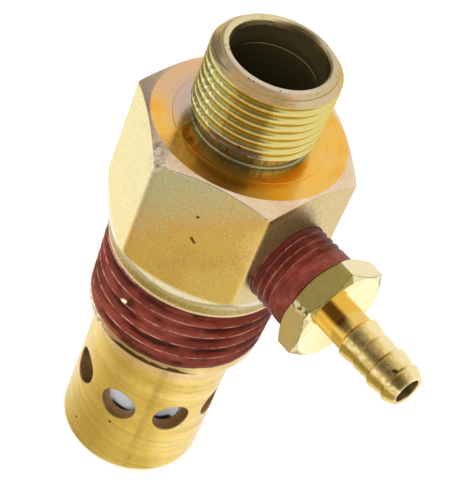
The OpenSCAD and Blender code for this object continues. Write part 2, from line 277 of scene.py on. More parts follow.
def put(name, data):
    """Adds an object to the scene."""
    thing = bpy.data.objects.new(name, data)
    bpy.context.scene.collection.objects.link(thing)
    return thing


def make_piece(name, surface, materials, body, node=None, place=None,
               sharp=SHARP_ANGLE):
    """Turns a surface into an object that rides on a body and stands for a node."""
    points, faces, slots, marks = (np.concatenate(parts) for parts in (
        surface.points, surface.faces, surface.slots, surface.marks))
    if place is not None:
        points = place(points)
    mesh = bpy.data.meshes.new(name)
    bm = bmesh.new()
    layer = bm.verts.layers.float.new("mark")
    verts = [bm.verts.new(p) for p in points.tolist()]
    for v, m in zip(verts, marks.tolist()):
        v[layer] = m
    for quad, index in zip(faces.tolist(), slots.tolist()):
        corners = []
        for i in quad:
            if not any((verts[i].co - v.co).length_squared < WELD ** 2 for v in corners):
                corners.append(verts[i])
        if len(corners) > 2:
            try:
                face = bm.faces.new(corners)
            except ValueError:
                continue
            face.material_index = index
            face.smooth = True
    bmesh.ops.remove_doubles(bm, verts=bm.verts, dist=WELD)
    bmesh.ops.dissolve_degenerate(bm, edges=bm.edges, dist=WELD / 4)
    loose = [v for v in bm.verts if not v.link_faces]
    bmesh.ops.delete(bm, geom=loose, context="VERTS")
    bmesh.ops.recalc_face_normals(bm, faces=bm.faces)
    bmesh.ops.scale(bm, vec=(MM, MM, MM), verts=bm.verts)
    bm.to_mesh(mesh)
    bm.free()
    for material in materials:
        mesh.materials.append(material)
    mesh.set_sharp_from_angle(angle=math.radians(sharp))
    piece = put(name, mesh)
    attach(piece, body)
    if node:
        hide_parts(node)
    return piece


def cut_with(piece, cutter):
    """Cuts a closed mesh out of a piece and drops the cutter."""
    change = piece.modifiers.new("cut", "BOOLEAN")
    change.operation = "DIFFERENCE"
    change.solver = "EXACT"
    change.object = cutter
    bpy.context.view_layer.update()
    graph = bpy.context.evaluated_depsgraph_get()
    cut = bpy.data.meshes.new_from_object(piece.evaluated_get(graph))
    piece.modifiers.clear()
    piece.data = cut
    bpy.data.objects.remove(cutter)


def on_port_axis(points):
    """Turns points made round Z onto the side port's axis."""
    return np.stack([points[:, 2], points[:, 1], PORT_Z - points[:, 0]], axis=-1)


# ------------------------------------------------------------------ materials

class Nodes:
    """The nodes of a material or a world.

    What feeds a node is a constant, another node or one of its sockets.
    """

    def __init__(self, owner):
        owner.use_nodes = True
        self.tree = owner.node_tree
        self.tree.nodes.clear()

    def add(self, kind, inputs=(), **properties):
        """Adds a node. Its inputs are in order, or named, with underscores for spaces."""
        node = self.tree.nodes.new("ShaderNode" + kind)
        for key, value in properties.items():
            setattr(node, key, value)
        if not isinstance(inputs, dict):
            inputs = dict(enumerate(inputs))
        for key, value in inputs.items():
            self.feed(node.inputs[key.replace("_", " ") if isinstance(key, str) else key], value)
        return node

    def feed(self, socket, value):
        if isinstance(value, bpy.types.Node):
            value = value.outputs[0]
        if isinstance(value, bpy.types.NodeSocket):
            self.tree.links.new(value, socket)
        else:
            if socket.type == "RGBA" and len(value) == 3:
                value = (*value, 1)
            socket.default_value = value

    def math(self, operation, *values):
        return self.add("Math", values, operation=operation).outputs[0]

    def times(self, *values):
        """The product of the values."""
        product = values[0]
        for value in values[1:]:
            product = self.math("MULTIPLY", product, value)
        return product

    def vector(self, operation, *values):
        node = self.add("VectorMath", values, operation=operation)
        return node.outputs["Value" if operation in ("LENGTH", "DISTANCE", "DOT_PRODUCT")
                            else "Vector"]

    def combine(self, *values):
        return self.add("CombineXYZ", values).outputs[0]

    def levels(self, value, low, high, to_low=0.0, to_high=1.0):
        """Turns the range from low to high into another, and holds it at its ends."""
        return self.add("MapRange", [value, low, high, to_low, to_high]).outputs["Result"]

    def ramp(self, value, stops):
        node = self.add("ValToRGB", {"Fac": value})
        elements = node.color_ramp.elements
        while len(elements) < len(stops):
            elements.new(0.5)
        for element, (place, colour) in zip(elements, stops):
            element.position = place
            element.color = (*colour, 1)
        return node.outputs["Color"]

    def mix(self, factor, a, b):
        """Colour a where the factor is 0 and colour b where it is 1."""
        return self.add("Mix", {0: factor, 6: a, 7: b}, data_type="RGBA").outputs[2]

    def blend(self, factor, a, b):
        """Shader a where the factor is 0 and shader b where it is 1."""
        return self.add("MixShader", [factor, a, b])


class Shader(Nodes):
    """A material with coordinates in millimetres, round the valve's axis or the side port's."""

    def __init__(self, name, port=False, **constants):
        self.material = bpy.data.materials.new(name)
        super().__init__(self.material)
        self.surface = self.add("BsdfPrincipled", constants)
        self.add("OutputMaterial", {"Surface": self.surface})
        self.mm = self.vector("MULTIPLY", self.add("TexCoord").outputs["Object"],
                              (1 / MM, 1 / MM, 1 / MM))
        x, y, z = self.add("SeparateXYZ", [self.mm]).outputs
        self.along, a, b = (x, y, self.math("SUBTRACT", z, PORT_Z)) if port else (z, x, y)
        self.radius = self.math("SQRT", self.math("ADD", self.times(a, a), self.times(b, b)))
        self.angle = self.math("ARCTAN2", b, a)

    def paint(self, colour, *masks):
        """Puts a colour over the material's own, as far as the product of the masks."""
        self.colour = self.mix(self.times(*masks), self.colour, colour)

    def dots(self, colour, soft, *dots):
        """Paints dots of (x, y, z, size), each with a soft edge."""
        for *place, size in dots:
            self.paint(colour, self.spot(place, size, soft))

    def noise(self, scale, detail=3.0, roughness=0.55, vector=None):
        node = self.add("TexNoise", {
            "Vector": vector or self.mm, "Scale": scale, "Detail": detail,
            "Roughness": roughness})
        return node.outputs["Fac"]

    def turned(self, fine, sweep=0.35, slant=0.0):
        """Noise that runs round the axis like the marks of a lathe tool."""
        shifted = self.math("ADD", self.along, self.times(self.angle, slant))
        place = self.combine(self.times(self.radius, fine), self.times(self.angle, sweep),
                             self.times(shifted, fine))
        return self.noise(1.0, detail=4.0, roughness=0.6, vector=place)

    def sector(self, middle, half, soft):
        """1 in a sector round the axis, falling to 0 over soft. All in degrees."""
        off = self.math("SUBTRACT", self.angle, math.radians(middle))
        edges = (math.cos(math.radians(edge)) for edge in (half + soft, half))
        return self.levels(self.math("COSINE", off), *edges)

    def below(self, height, soft):
        """1 below a height, falling to 0 over soft."""
        return self.levels(self.along, height + soft, height)

    def spot(self, place, size, soft):
        """1 within size of a place, falling to 0 over soft."""
        return self.levels(self.vector("DISTANCE", self.mm, place), size + soft, size)

    def facing_up(self, low, high):
        """0 to 1 as the surface turns from one upward slope to another."""
        normal = self.add("NewGeometry").outputs["Normal"]
        return self.levels(self.vector("DOT_PRODUCT", normal, (0, 0, 1)), low, high)

    def mark(self):
        """The piece's own value at each point."""
        return self.add("Attribute", attribute_name="mark").outputs["Fac"]

    def bump(self, height, microns, normal=None):
        """The normal over a height of so many microns, on top of another bump."""
        inputs = {"Height": height, "Distance": microns * 1e-6, "Strength": 1.0}
        if normal is not None:
            inputs["Normal"] = normal
        return self.add("Bump", inputs).outputs[0]

    def rough(self, tone, low, high):
        """Roughness that follows a noise from low to high."""
        return self.levels(tone, 0.3, 0.7, low, high)

    def done(self, **looks):
        """Sets the colour and the other looks, and gives the material."""
        for name, value in dict(looks, Base_Color=self.colour).items():
            self.feed(self.surface.inputs[name.replace("_", " ")], value)
        return self.material


def dimmed(colour, share):
    return tuple(c * share for c in colour)


def sparkle(s, bright, dark):
    """Adds the fine dark specks of a plated, blasted surface, and light specks that are painted
    glints.
    """
    grain = s.noise(4.5, roughness=0.7)
    # The light specks are painted glints
    s.paint((1.0, 0.80, 0.42), s.levels(grain, 0.56, 0.68), bright)
    s.paint((0.22, 0.15, 0.05), s.levels(grain, 0.40, 0.30), dark)
    s.paint((0.12, 0.08, 0.03), s.levels(s.noise(3.4, detail=1.0), 0.27, 0.20), 0.8)


def hexagon_plate():
    """Yellow passivated zinc on the hexagon: a film that drifts from grey green to gold."""
    s = Shader("plate_hex")
    across = s.vector("DOT_PRODUCT", s.mm, (math.cos(TURN / 12), math.sin(TURN / 12), 0))
    drift = s.noise(0.30, detail=7.0, roughness=0.66)
    film = s.math("ADD", s.levels(s.along, HEX_TOP_Z, HEX_TOP_Z - 12.0, 0.0, 0.8),
                  s.math("ADD", s.times(across, 0.05),
                         s.levels(drift, 0.25, 0.75, -0.08, 0.26)))
    s.colour = s.ramp(film, [(0.0, (0.62, 0.60, 0.46)), (0.2, (0.66, 0.60, 0.42)),
                             (0.38, (0.76, 0.55, 0.30)), (0.50, (0.80, 0.51, 0.20)),
                             (0.66, (0.78, 0.55, 0.17)), (0.85, (0.74, 0.47, 0.17)),
                             (1.0, (0.80, 0.57, 0.20))])
    # Painted light on the faces on both sides of the front one, the left lighter and the right
    # darker, and a painted shade beside the port
    for middle, tint in ((-120, (0.88, 0.74, 0.31)), (0, (0.66, 0.51, 0.24))):
        s.paint(tint, s.sector(middle, 28, 2), 0.85)
    by_port = s.spot((FLAT_X, -3.0, PORT_Z + 4.5), 3.0, 2.0)
    s.paint((0.26, 0.17, 0.06), by_port, s.sector(0, 28, 2))
    # The chamfers, the pale band above the lower one, which is a painted highlight, and the
    # collar
    s.paint(s.mix(s.levels(drift, 0.35, 0.65), (0.80, 0.56, 0.34), (0.90, 0.72, 0.52)),
            s.facing_up(0.45, 0.7))
    slope = 0.67  # the band ends at a cone, so its edge curves on the flats
    cone = s.math("SUBTRACT", s.along, s.times(s.radius, slope))
    cone_z = HEX_LOW_Z - slope * HEX_APOTHEM
    pale = s.levels(cone, cone_z + 1.9, cone_z + 1.5)
    s.paint((0.84, 0.78, 0.60), pale, 0.9)
    s.paint((0.44, 0.33, 0.12), s.below(COLLAR_Z + 1.0, 1.3))
    # A painted highlight along the collar's edge
    s.paint((0.88, 0.66, 0.42), s.below(COLLAR_Z + 0.30, 0.10))
    # Painted light: the lower chamfer paler where it faces down
    s.paint((0.66, 0.58, 0.38), s.facing_up(-0.25, -0.45), s.below(HEX_LOW_Z + 3.0, 0.1))
    sparkle(s, 0.75, 0.55)
    # The bruised corner, and the pits in the front face
    bruised = s.math("MAXIMUM", s.spot((-0.8, -11.6, -1.0), 0.7, 0.7),
                     s.spot((-0.3, -12.2, -1.7), 0.7, 0.8))
    crush = s.noise(1.5, detail=4.0, roughness=0.65)
    s.paint((1.0, 0.86, 0.70), bruised, s.levels(crush, 0.47, 0.56))
    s.paint((0.42, 0.26, 0.14), bruised, s.levels(crush, 0.40, 0.34))
    s.dots((0.10, 0.06, 0.03), 0.16, (5.38, -9.72, -8.4, 0.10), (5.55, -9.62, -8.6, 0.10),
           (5.73, -9.52, -8.8, 0.08), (5.21, -9.82, -5.4, 0.10))
    dull = s.times(pale, s.levels(s.along, COLLAR_Z + 1.0, COLLAR_Z + 2.3))
    grain = s.bump(s.noise(4.0, detail=5.0, roughness=0.75), 22.0)
    return s.done(Metallic=s.levels(s.math("MAXIMUM", dull, by_port), 0.0, 1.0, 1.0, 0.5),
                  Roughness=s.rough(s.noise(2.2), 0.24, 0.40),
                  Normal=s.bump(s.times(crush, bruised), 350.0, grain))


def face_plate():
    """The turned top face: orange film, with painted reflections, greyer beside the stub at the
    back left and darker in front.
    """
    s = Shader("plate_face", Metallic=1.0)
    drift = s.noise(0.3)
    s.colour = s.ramp(drift, [(0.3, (0.90, 0.42, 0.05)), (0.5, (0.93, 0.52, 0.09)),
                              (0.7, (0.90, 0.55, 0.14))])
    # Painted reflections: pinkish grey at the back left, darker in front
    s.paint((0.72, 0.47, 0.30), s.sector(-164, 16, 18), 0.8)
    s.paint((0.58, 0.44, 0.37), s.sector(-160, 30, 22), s.levels(s.radius, 9.6, 7.6))
    s.paint((0.42, 0.30, 0.14), s.sector(-66, 28, 12), 0.55)
    s.paint((0.50, 0.56, 0.40), s.levels(s.radius, 6.95, 6.65))
    rings = s.turned(5.0, sweep=0.1)
    s.paint((0.45, 0.22, 0.06), s.levels(rings, 0.5, 0.75), 0.15)
    return s.done(Roughness=s.rough(drift, 0.14, 0.24),
                  Normal=s.bump(rings, 3.5, s.bump(s.noise(0.7, detail=2.0), 4.0)))


def thread_plate():
    """The inlet thread: olive gold with the marks of the die, and painted light: paler to the
    right, darker in front and at the left, with glints on its crests.
    """
    s = Shader("plate_thread", Specular_Tint=(0.80, 0.68, 0.34))
    drift = s.noise(0.5)
    s.colour = s.ramp(drift, [(0.3, (0.78, 0.58, 0.15)), (0.5, (0.86, 0.66, 0.19)),
                              (0.7, (0.86, 0.66, 0.30))])
    # Painted reflections round the thread: dark in front, pale to the right, light where the
    # glints fall, dark at the left
    s.paint(s.mix(drift, (0.52, 0.38, 0.09), (0.72, 0.54, 0.17)), s.sector(-61, 15, 7))
    s.paint((0.80, 0.68, 0.24), s.sector(10, 50, 4))
    s.paint((0.70, 0.62, 0.24), s.sector(-108, 24, 8))
    s.paint((0.45, 0.36, 0.20), s.sector(-170, 40, 10))
    # The foot of the thread, painted darker in front, its relief, and a painted highlight on the
    # fillet below it
    s.paint((0.42, 0.31, 0.20), s.below(THREAD_END_Z + 0.7, 0.5), s.sector(-62, 22, 6))
    s.paint((0.58, 0.54, 0.32), s.below(THREAD_END_Z - 0.4, 0.4))
    s.paint((0.86, 0.95, 0.76), s.below(HEX_TOP_Z + 0.16, 0.10))
    # The chamfer above the thread, and a painted shade in the thread's roots
    top = s.levels(s.along, INLET_Z - 1.15, INLET_Z - 1.0)
    shaded = s.sector(-58, 26, 12)
    s.paint(s.mix(shaded, (0.68, 0.53, 0.30), (0.42, 0.26, 0.115)), top)
    mark = s.mark()
    s.paint((0.28, 0.20, 0.06), s.levels(mark, 0.40, 0.0), 0.8)
    sparkle(s, 0.2, 0.35)
    s.dots((0.10, 0.07, 0.03), 0.2, (3.81, -5.87, 1.9, 0.15))
    # Bumps that the die left on the crests at one side, with painted glints on them
    beads = s.noise(1.9, detail=0.5, vector=s.combine(s.times(s.angle, INLET_R),
                                                      s.times(s.along, 0.5)))
    threaded = s.below(INLET_Z - 1.4, 0.15)
    s.paint((1.0, 0.97, 0.66), s.levels(beads, 0.50, 0.60), s.levels(mark, 0.45, 0.85),
            s.sector(-108, 12, 10), threaded, 0.9)
    chatter = s.times(beads, s.sector(-104, 24, 10), threaded)
    return s.done(Metallic=s.levels(s.times(top, shaded), 0.0, 1.0, 1.0, 0.4),
                  Roughness=s.rough(drift, 0.18, 0.28),
                  Normal=s.bump(chatter, 110.0, s.bump(s.noise(3.0, detail=4.0), 7.0)))


def rim_plate():
    """The rim: cream to pinkish grey with small dark pits, browner on its chamfers."""
    s = Shader("plate_rim", Metallic=1.0)
    drift = s.noise(0.6, detail=4.0)
    s.colour = s.ramp(drift, [(0.3, (0.66, 0.56, 0.38)), (0.6, (0.74, 0.62, 0.46)),
                              (0.8, (0.78, 0.66, 0.54))])
    s.paint((0.80, 0.66, 0.36), s.sector(180, 50, 30))
    s.paint((0.62, 0.52, 0.30), s.sector(60, 40, 30))
    # Painted light: the outer chamfer lighter in front, where it mirrors dark
    outside = s.levels(s.radius, RIM_R - 0.1, RIM_R + 0.05)
    s.paint(s.mix(s.sector(-52, 24, 14), (0.68, 0.52, 0.27), (0.80, 0.58, 0.36)), outside)
    s.paint(s.mix(s.sector(-170, 40, 20), (0.50, 0.36, 0.15), (0.90, 0.72, 0.38)),
            s.levels(s.radius, MOUTH_R + 0.05, MOUTH_R - 0.08))
    s.paint((0.20, 0.14, 0.07), s.levels(s.radius, MOUTH_R + 0.6, MOUTH_R + 0.1),
            s.sector(108, 9, 16))
    s.paint((0.10, 0.07, 0.04), s.levels(s.noise(2.8, detail=1.0), 0.32, 0.25), 0.85)
    return s.done(Roughness=s.math("ADD", s.rough(drift, 0.26, 0.38), s.times(outside, 0.15)),
                  Normal=s.bump(s.turned(4.0), 5.0, s.bump(s.noise(3.0, detail=5.0), 12.0)))


def bore_plate():
    """The bore, painted nearly black for the shade inside it, with one pale line round it."""
    s = Shader("plate_bore", Metallic=0.3, Roughness=0.42, Specular_IOR_Level=0.15)
    marks = s.turned(5.0)
    s.colour = s.mix(marks, (0.032, 0.026, 0.008), (0.054, 0.043, 0.015))
    off_line = s.math("ABSOLUTE", s.math("SUBTRACT", s.along, INLET_Z - 2.9))
    s.paint((0.42, 0.32, 0.14), s.levels(off_line, 0.05, 0.02), s.sector(115, 45, 25))
    return s.done(Normal=s.bump(marks, 8.0))


def end_plate():
    """The plain end below the tank thread: brass coloured, with painted reflections and a
    painted shade as a dark line at its foot.
    """
    s = Shader("plate_end", Metallic=1.0)
    drift = s.noise(0.5, detail=4.0)
    s.colour = s.ramp(drift, [(0.35, (0.66, 0.46, 0.20)), (0.65, (0.88, 0.66, 0.30))])
    # Painted reflections: darker in front, and glints at the left
    s.paint(s.mix(drift, (0.42, 0.29, 0.15), (0.70, 0.53, 0.32)), s.sector(-75, 30, 20))
    s.paint((1.0, 0.93, 0.80), s.sector(-122, 20, 12), s.levels(s.noise(2.6), 0.50, 0.58))
    # A painted shade along the foot under the body's edge, wider in front
    ragged = s.levels(s.noise(0.45, detail=4.0), 0.30, 0.60, 0.15, 0.70)
    crevice = s.math("ADD", BODY_END_Z + 0.18, s.times(s.sector(-57, 20, 14), ragged))
    s.paint((0.075, 0.04, 0.015), s.levels(s.math("SUBTRACT", s.along, crevice), 0.10, 0.0),
            s.math("ADD", 0.45, s.times(s.sector(-59, 28, 14), 0.5)))
    return s.done(Roughness=s.rough(drift, 0.22, 0.36),
                  Normal=s.bump(s.turned(6.0), 8.0, s.bump(s.noise(1.1), 50.0)))


def cage_plate():
    """The cage: brass with slanting tool marks, with a painted pale reflection under the body.
    """
    s = Shader("cage_brass", Metallic=1.0)
    blot = s.noise(0.9, detail=5.0, roughness=0.7)
    marks, broad = (s.turned(fine, sweep=0.5, slant=1.6) for fine in (5.0, 0.8))
    s.colour = s.ramp(broad, [(0.35, (0.76, 0.53, 0.14)), (0.55, (0.87, 0.64, 0.20)),
                              (0.7, (0.92, 0.71, 0.28))])
    s.paint((0.46, 0.30, 0.08), s.levels(marks, 0.52, 0.72), 0.4)
    # A painted pale reflection just under the body
    s.paint((0.88, 0.62, 0.47), s.levels(blot, 0.35, 0.6, 0.6, 1.0),
            s.levels(s.along, SHOULDER_Z - 3.4, SHOULDER_Z - 1.8))
    s.paint((0.58, 0.34, 0.09), s.levels(blot, 0.50, 0.68), 0.36)
    # A painted shadow as a dark gap under the body, the seam, a painted shade low on the wall,
    # and two specks
    edge = s.math("ADD", s.along, s.levels(blot, 0.35, 0.65, -0.2, 0.2))
    s.paint((0.09, 0.05, 0.02), s.levels(edge, SHOULDER_Z - 0.70, SHOULDER_Z - 0.45),
            s.sector(-56, 20, 10), 0.85)
    s.paint((0.40, 0.29, 0.10), s.levels(blot, 0.62, 0.40), s.sector(-43, 1, 3), 0.5)
    s.paint((0.52, 0.40, 0.12), s.below(HOLE_Z - 4.5, 3.0), s.sector(-82, 22, 14), 0.25)
    s.dots((0.08, 0.05, 0.02), 0.12, (3.18, -7.88, -43.2, 0.12), (-1.3, -8.4, -47.2, 0.12))
    return s.done(Roughness=s.rough(marks, 0.24, 0.38),
                  Normal=s.bump(marks, 7.0, s.bump(s.noise(4.0, detail=4.0), 3.0)))


def fitting_plate():
    """The fitting's hexagon: olive brass, pale in front, with broken dark lines at its edges."""
    s = Shader("barb_hex_brass", port=True, Metallic=1.0)
    tone = s.noise(0.9, detail=5.0, roughness=0.65)
    s.colour = s.ramp(tone, [(0.35, (0.39, 0.30, 0.08)), (0.65, (0.45, 0.35, 0.10))])
    # Painted light on two facets: one pale, one bright
    s.paint(s.ramp(tone, [(0.35, (0.72, 0.58, 0.33)), (0.65, (0.77, 0.62, 0.36))]),
            s.sector(186, 28, 2))
    s.paint((0.92, 0.80, 0.48), s.sector(66, 28, 2))
    # The chipped corner
    corner, chips = s.sector(156, 3, 2), s.noise(2.4)
    s.paint((1.0, 0.88, 0.55), corner, s.levels(chips, 0.46, 0.54))
    s.paint((0.12, 0.08, 0.03), corner, s.levels(chips, 0.44, 0.38))
    # The dished front
    rise = s.times(s.math("SUBTRACT", s.radius, BARB_FACE_R), BARB_DISH / (BARB_FACE_R - STEM_R))
    dish = s.math("ADD", BARB_FACE_X - 0.10, rise)
    front = s.times(s.levels(s.radius, BARB_FACE_R + 0.03, BARB_FACE_R - 0.03),
                    s.levels(s.math("SUBTRACT", s.along, dish), 0.0, 0.05))
    s.paint((0.98, 0.86, 0.50), front)
    sparkle(s, 0.05, 0.10)
    dashes = s.levels(s.noise(2.2, detail=2.0), 0.40, 0.47)
    s.paint((0.10, 0.07, 0.03), s.levels(s.mark(), 0.45, 0.8), dashes)
    grain = s.times(s.noise(3.0, detail=5.0, roughness=0.7),
                    s.levels(front, 1.0, 0.0, 0.01, 1.0))
    return s.done(Roughness=s.levels(front, 0.0, 1.0, 0.32, 0.07), Normal=s.bump(grain, 5.0))


def stem_plate():
    """The fitting's stem: polished brass by the hexagon, rough and bruised on the barbs, with
    painted reflections in bands round it and painted glints on the barbs.
    """
    s = Shader("stem_brass", port=True, Metallic=1.0)
    marks = s.turned(5.0, sweep=0.5)
    s.colour = s.mix(marks, (0.80, 0.50, 0.10), (0.94, 0.66, 0.18))
    # Painted reflections on the polished part: a darker line at one side and a dark patch in
    # front, by the hexagon
    s.paint((0.55, 0.34, 0.05), s.sector(205, 6, 8))
    s.paint((0.13, 0.055, 0.012), s.sector(STEM_FRONT + 3, 13, 11),
            s.levels(s.along, FIRST_BARB_X + 0.2, FIRST_BARB_X - 1.6))
    polished = s.colour
    bruise = s.noise(1.3, detail=5.0, roughness=0.7)
    s.colour = s.ramp(bruise, [(0.32, (0.60, 0.42, 0.12)), (0.5, (0.80, 0.58, 0.19)),
                               (0.68, (0.94, 0.74, 0.32))])
    # Painted reflections on the barbs: dark bands, a bright side and glints
    s.paint(s.mix(bruise, (0.22, 0.14, 0.04), (0.48, 0.34, 0.12)),
            s.sector(STEM_FRONT - 2, 14, 10), 0.7)
    s.paint((0.34, 0.22, 0.05), s.sector(STEM_FRONT + 48, 7, 8), 0.7)
    s.paint((0.97, 0.80, 0.42), s.sector(STEM_FRONT - 65, 22, 15))
    s.paint((1.0, 0.86, 0.48), s.sector(STEM_FRONT + 28, 5, 8),
            s.levels(s.noise(1.8, detail=4.0), 0.44, 0.60))
    barbed = s.levels(s.along, FIRST_BARB_X - 0.3, FIRST_BARB_X + 0.3)
    s.colour = s.mix(barbed, polished, s.colour)
    s.dots((0.08, 0.05, 0.02), 0.12, (28.8, -1.18, -8.56, 0.16), (28.6, -1.3, -8.6, 0.12),
           (30.4, -1.29, -8.62, 0.10))
    dents = s.times(bruise, s.levels(barbed, 0.0, 1.0, 0.06, 1.0))
    return s.done(Roughness=s.levels(barbed, 0.0, 1.0, 0.14, 0.24),
                  Normal=s.bump(dents, 75.0, s.bump(marks, 3.0)))


def brass(name, colour, roughness, streak_microns, port=False):
    """Turned brass with tool marks round its axis."""
    s = Shader(name, port, Metallic=1.0)
    marks = s.turned(6.0, sweep=0.5)
    broad = s.turned(1.0, sweep=0.25)
    s.colour = s.mix(s.levels(broad, 0.35, 0.65), dimmed(colour, 0.72), colour)
    s.paint(dimmed(colour, 0.6), s.levels(marks, 0.45, 0.75), 0.4)
    return s.done(Roughness=s.rough(marks, roughness - 0.05, roughness + 0.1),
                  Normal=s.bump(marks, streak_microns, s.bump(s.noise(4.0, detail=4.0), 4.0)))


def sealant(name, port=False):
    """Dried thread sealant: brick red, patchy in the roots, pale on the crests where it is thin
    and worn and where a highlight is painted.
    """
    s = Shader(name, port, Roughness=0.40, Specular_IOR_Level=0.22)
    mark = s.mark()
    run = s.combine(s.times(s.angle, 2.0), s.times(s.along, 0.6), s.times(s.radius, 0.8))
    patch = s.noise(1.0, detail=4.0, roughness=0.62, vector=run)
    s.colour = s.ramp(patch, [(0.36, (0.115, 0.017, 0.009)), (0.5, (0.170, 0.028, 0.014)),
                              (0.66, (0.26, 0.056, 0.032))])
    if port:
        s.paint((0.085, 0.011, 0.004), s.levels(s.along, BARB_HEX_X - 2.6, FLAT_X))
    else:
        s.paint((0.045, 0.008, 0.004), s.levels(patch, 0.50, 0.42), s.levels(mark, 0.75, 0.25),
                0.9)
        # A painted shadow under the collar
        s.paint((0.06, 0.012, 0.004), s.levels(s.along, COLLAR_Z - 1.0, COLLAR_Z - 0.3), 0.7)
    wear = s.levels(s.noise(0.8, detail=5.0, roughness=0.65), 0.40, 0.62)
    # Pale crests: partly thin, worn sealant, partly a painted highlight
    s.paint((0.74, 0.36, 0.27), s.levels(mark, 0.88, 0.99), wear, 0.8)
    if not port:
        # A chip that shows the plating, with a painted shade for a hollow beside it
        s.dots((0.06, 0.012, 0.006), 0.45, (1.35, -10.3, -22.5, 0.35))
        s.dots((0.98, 0.78, 0.50), 0.10, (0.10, -10.3, -23.2, 0.12), (0.32, -10.3, -23.15, 0.20),
               (0.58, -10.3, -23.05, 0.22), (0.86, -10.3, -22.92, 0.14))
    return s.done(Normal=s.bump(s.noise(5.0), 9.0, s.bump(s.noise(1.0, detail=4.0), 60.0)))


def plain_solid(name, colour, roughness, bump_microns, **constants):
    """A pressed or drawn surface with a faint grain."""
    s = Shader(name, **constants)
    tone = s.noise(1.5, detail=4.0)
    s.colour = s.mix(tone, dimmed(colour, 0.88), colour)
    return s.done(Roughness=s.rough(tone, roughness - 0.05, roughness + 0.07),
                  Normal=s.bump(s.noise(6.0), bump_microns))


def piston_ptfe():
    """White PTFE, with a painted shade at the foot of the skirt."""
    s = Shader("ptfe", Subsurface_Weight=0.15)
    tone = s.noise(1.5, detail=4.0)
    s.colour = s.mix(tone, (0.82, 0.83, 0.85), (0.93, 0.94, 0.96))
    # Painted shade at the foot of the skirt, seen through the holes
    s.paint((0.06, 0.05, 0.04), s.below(HOLE_Z - 2.9, 0.25))
    return s.done(Roughness=s.rough(tone, 0.33, 0.45), Normal=s.bump(s.noise(6.0), 3.0))


# --------------------------------------------------------------------- pieces

def tank_crest_r(height):
    """Radius of the tapered tank thread over its crests."""
    return TANK_R - (COLLAR_Z - height) * PIPE_TAPER


